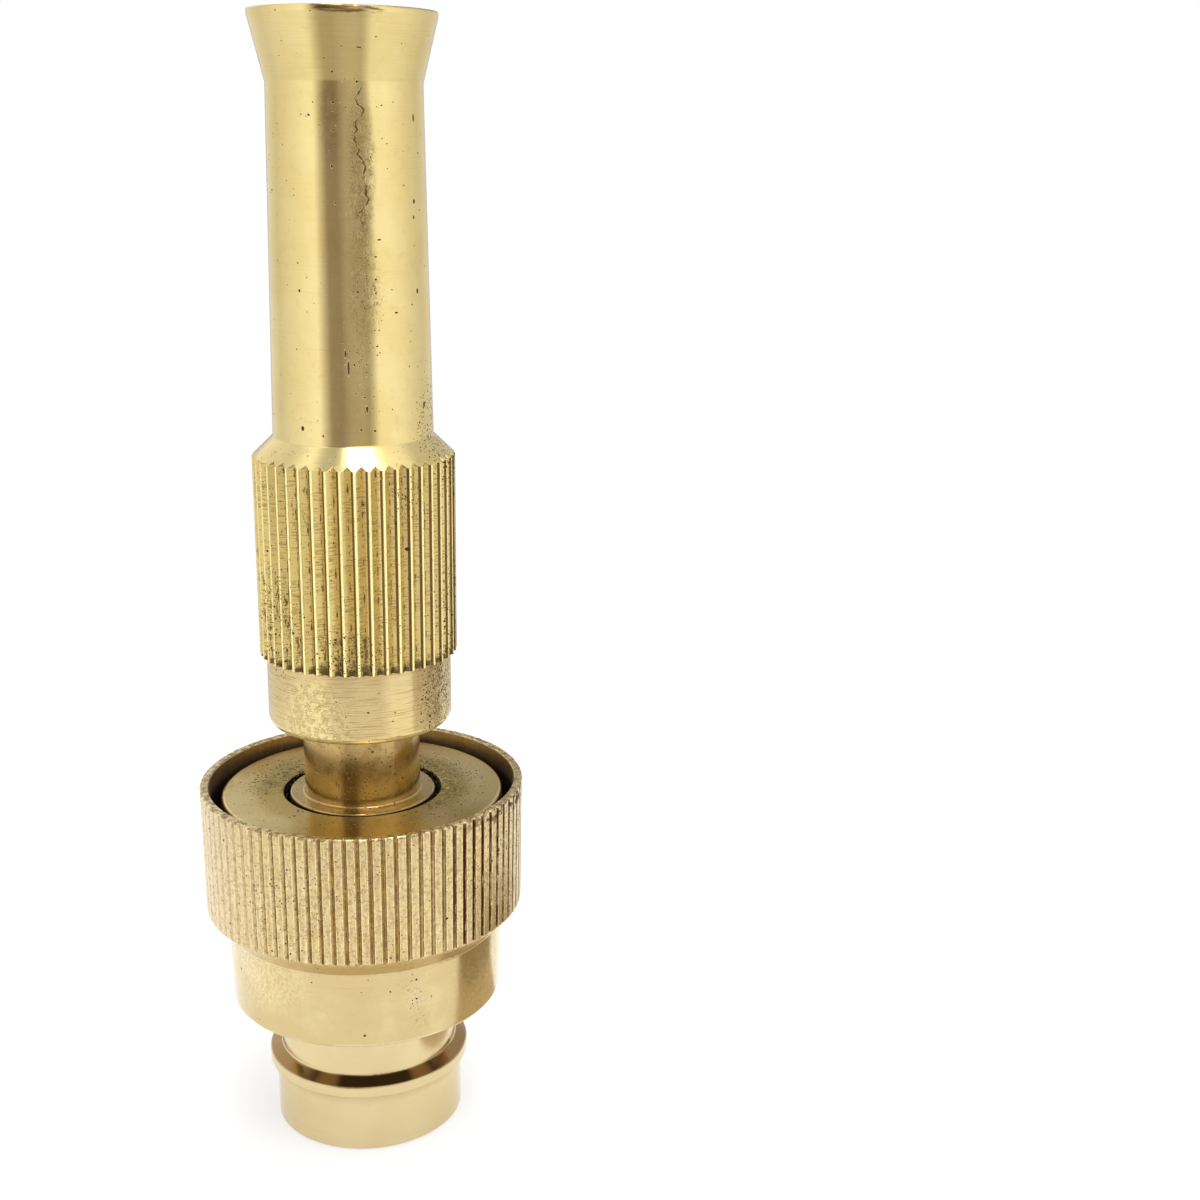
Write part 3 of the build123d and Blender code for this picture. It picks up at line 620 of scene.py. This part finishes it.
def steel(name, roughness):
    g = Graph(bpy.data.materials.new(name))
    scuffs = g.noise(g.place, scale=3.0, detail=4.0)
    colour = g.mix(g.ramp(scuffs, 0.4, 0.8), (0.62, 0.62, 0.63), (0.40, 0.38, 0.36))
    return g.finish(colour, g.plus(g.times(scuffs, 0.2), roughness), 1.0, scuffs, 0.004)


def rubber(name):
    g = Graph(bpy.data.materials.new(name))
    bloom = g.noise(g.place, scale=2.0, detail=5.0)
    colour = g.mix(g.ramp(bloom, 0.45, 0.75), (0.018, 0.017, 0.016), (0.050, 0.048, 0.045))
    return g.finish(colour, g.plus(g.times(bloom, 0.3), 0.4), 0.0, g.noise(g.place, scale=9.0), 0.02)


def pressed_fibre(name, pale, deep):
    g = Graph(bpy.data.materials.new(name))
    fibres = g.noise(g.place, scale=4.0, detail=6.0, roughness=0.7, distortion=1.5)
    return g.finish(g.mix(g.ramp(fibres, 0.35, 0.7), pale, deep), 0.75, 0.0, fibres, 0.03)


def spring():
    """The sleeve's return spring, a coil of wire in place of the CAD's spring."""
    low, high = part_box("sleeve_spring")
    wire = SPRING_WIRE_R
    mean = high[0] - wire
    bottom, top = low[2] + wire, high[2] - wire
    mesh = bpy.data.meshes.new("sleeve_spring_coil")
    build = bmesh.new()
    rings = []
    for step in range(SPRING_TURNS * SPRING_STEPS + 1):
        turned = step / SPRING_STEPS
        # the end turns lie flat, and the turns between them climb evenly
        climb = min(max((turned - SPRING_FLAT) / (SPRING_TURNS - 2 * SPRING_FLAT), 0.0), 1.0)
        a = 2 * math.pi * turned
        z = bottom + (top - bottom) * climb
        ring = []
        for side in range(SPRING_SIDES):
            b = 2 * math.pi * side / SPRING_SIDES
            r = mean + wire * math.cos(b)
            ring.append(build.verts.new((r * math.cos(a), r * math.sin(a), z + wire * math.sin(b))))
        rings.append(ring)
    for first, second in zip(rings, rings[1:]):
        for side in range(SPRING_SIDES):
            after = (side + 1) % SPRING_SIDES
            build.faces.new((first[side], second[side], second[after], first[after]))
    build.faces.new(rings[0])
    build.faces.new(reversed(rings[-1]))
    bmesh.ops.recalc_face_normals(build, faces=build.faces)
    build.to_mesh(mesh)
    build.free()
    mesh.shade_smooth()
    mesh.materials.append(steel("steel_spring", 0.18))
    piece = bpy.data.objects.new("sleeve_spring_coil", mesh)
    bpy.context.scene.collection.objects.link(piece)
    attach(piece, "coupler")
    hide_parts("sleeve_spring")
    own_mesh(piece)


def paint_nodes():
    """Gives every CAD node its material."""
    materials = {
        "barrel": barrel_brass(),
        "release_sleeve": sleeve_brass(),
        "coupler_core": core_brass(),
        "stem": stem_brass(),
        "hose_plug": plug_brass(),
        "brass_inner": inner_brass(),
        "steel": steel("steel_wire", 0.22),
        "ball": steel("steel_ball", 0.05),
        "rubber": rubber("rubber_seal"),
        "fibre": pressed_fibre("red_fibre", (0.42, 0.13, 0.08), (0.26, 0.07, 0.05)),
        "nylon": pressed_fibre("nylon", (0.80, 0.78, 0.71), (0.70, 0.67, 0.58)),
    }
    shared = {
        "brass_inner": ["valve_tip", "gland_ring"],
        "steel": ["sleeve_retaining_ring", "sleeve_spring"],
        "rubber": ["plug_o_ring", "nose_washer", "stem_o_ring", "valve_seal", "wiper_seal"],
        "fibre": ["stem_gasket"],
        "nylon": ["slip_washer"],
        "ball": [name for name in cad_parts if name.startswith("lock_ball")],
    }
    chosen = {node: material for material, nodes in shared.items() for node in nodes}
    for name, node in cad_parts.items():
        node.data.materials.clear()
        node.data.materials.append(materials[chosen.get(name, name)])


def floor_white():
    """A light table: partly its own light, so the object's shadow on it stays faint."""
    g = Graph(bpy.data.materials.new("floor_white"))
    grain = g.noise(g.place, scale=0.02)
    material = g.finish(g.mix(g.times(grain, 0.1), (0.40, 0.40, 0.40), (0.38, 0.38, 0.38)), 0.8, 0.0)
    shader = g.tree.nodes["Principled BSDF"]
    shader.inputs["Emission Color"].default_value = (1.0, 1.0, 1.0, 1.0)
    shader.inputs["Emission Strength"].default_value = FLOOR_GLOW
    return material


def card_paint(name, colour):
    g = Graph(bpy.data.materials.new(name))
    cloud = g.noise(g.place, scale=0.05)
    return g.finish(g.mix(g.times(cloud, 0.2), colour, (0.1, 0.1, 0.1)), 0.8, 0.0)


def panel(name, corners, material):
    """A flat stage panel through its corners."""
    mesh = bpy.data.meshes.new(name)
    mesh.from_pydata([tuple(c) for c in corners], [], [tuple(range(len(corners)))])
    mesh.materials.append(material)
    made = bpy.data.objects.new(name, mesh)
    bpy.context.scene.collection.objects.link(made)
    return made


def studio_world():
    """White to the camera. The brass mirrors a room that is dark in front, where the camera stands, and
    brightest 50 to 60 degrees to each side of it, under a ceiling light."""
    world = bpy.data.worlds.new("studio")
    bpy.context.scene.world = world
    g = Graph(world)
    right, back, up = g.split(g.node("ShaderNodeTexCoord", {}).outputs["Generated"])
    # turns from the front to the right, -180 to 180 degrees, made 0 to 1
    turn = g.math("ARCTAN2", right, g.math("MULTIPLY", back, -1.0))
    turn = g.plus(g.times(turn, 0.5 / math.pi), 0.5)
    room = g.stops(turn, [((angle + 180) / 360, light) for angle, light in ROOM_LIGHT])
    upper = g.stops(turn, [((angle + 180) / 360, light) for angle, light in UPPER_LIGHT])
    across = g.plus(g.times(right, 0.5), 0.5)
    ceiling = g.stops(across, [((side + 1) / 2, (light, light, light)) for side, light in CEILING_LIGHT])
    colour = g.mix(g.ramp(up, *LOW_FADE, high=LOW_SHARE), room, LOW_LIGHT)
    colour = g.mix(g.ramp(up, *UPPER_FADE), colour, upper)
    colour = g.mix(g.ramp(up, *CEILING_FADE), colour, ceiling)
    seen = g.node("ShaderNodeLightPath", {}).outputs["Is Camera Ray"]
    g.put(g.tree.nodes["Background"].inputs["Color"], g.mix(seen, colour, (1.0, 1.0, 1.0)))


def stage():
    """The floor is a white disc, small enough for the tube and the grip to mirror the room beyond it."""
    turns = [2 * math.pi * k / FLOOR_CORNERS for k in range(FLOOR_CORNERS)]
    edge = [(FLOOR_RADIUS * math.cos(a), FLOOR_RADIUS * math.sin(a), -FLOOR_DROP) for a in turns]
    panel("floor", edge, floor_white())
    for name, near, left, right, bottom, top, colour in CARDS:
        corners = [(near, left, bottom), (near, right, bottom), (CARD_X, right, top), (CARD_X, left, top)]
        card = panel(name, corners, card_paint(name, colour))
        card.visible_camera = False
        card.visible_diffuse = False
        card.visible_shadow = False
    studio_world()
    # satin spots and dirt take the soft lights, and reflections do not show them
    for name, energy, spread, toward in SOFT_LIGHTS:
        light = bpy.data.lights.new(name, "SUN")
        light.energy = energy
        light.angle = math.radians(spread)
        made = bpy.data.objects.new(name, light)
        made.rotation_euler = Vector(toward).to_track_quat("-Z", "Y").to_euler()
        made.visible_glossy = False
        bpy.context.scene.collection.objects.link(made)


def camera():
    yaw, down, roll = (math.radians(a) for a in (CAMERA_YAW, CAMERA_DOWN, CAMERA_ROLL))
    ahead = Vector((math.sin(yaw) * math.cos(down), math.cos(yaw) * math.cos(down), -math.sin(down)))
    level = Vector((math.cos(yaw), -math.sin(yaw), 0))
    above = level.cross(ahead)
    right = level * math.cos(roll) + above * math.sin(roll)
    up = above * math.cos(roll) - level * math.sin(roll)
    data = bpy.data.cameras.new("camera")
    data.sensor_width = 36.0
    data.lens = CAMERA_LENS
    data.clip_start = 0.005
    made = bpy.data.objects.new("camera", data)
    turned = Matrix((right, up, -ahead)).transposed().to_4x4()
    made.matrix_world = Matrix.Translation(CAMERA_PLACE) @ turned
    bpy.context.scene.collection.objects.link(made)
    bpy.context.scene.camera = made


bpy.context.scene.view_settings.view_transform = "Standard"
camera()
paint_nodes()
spring()
stage()
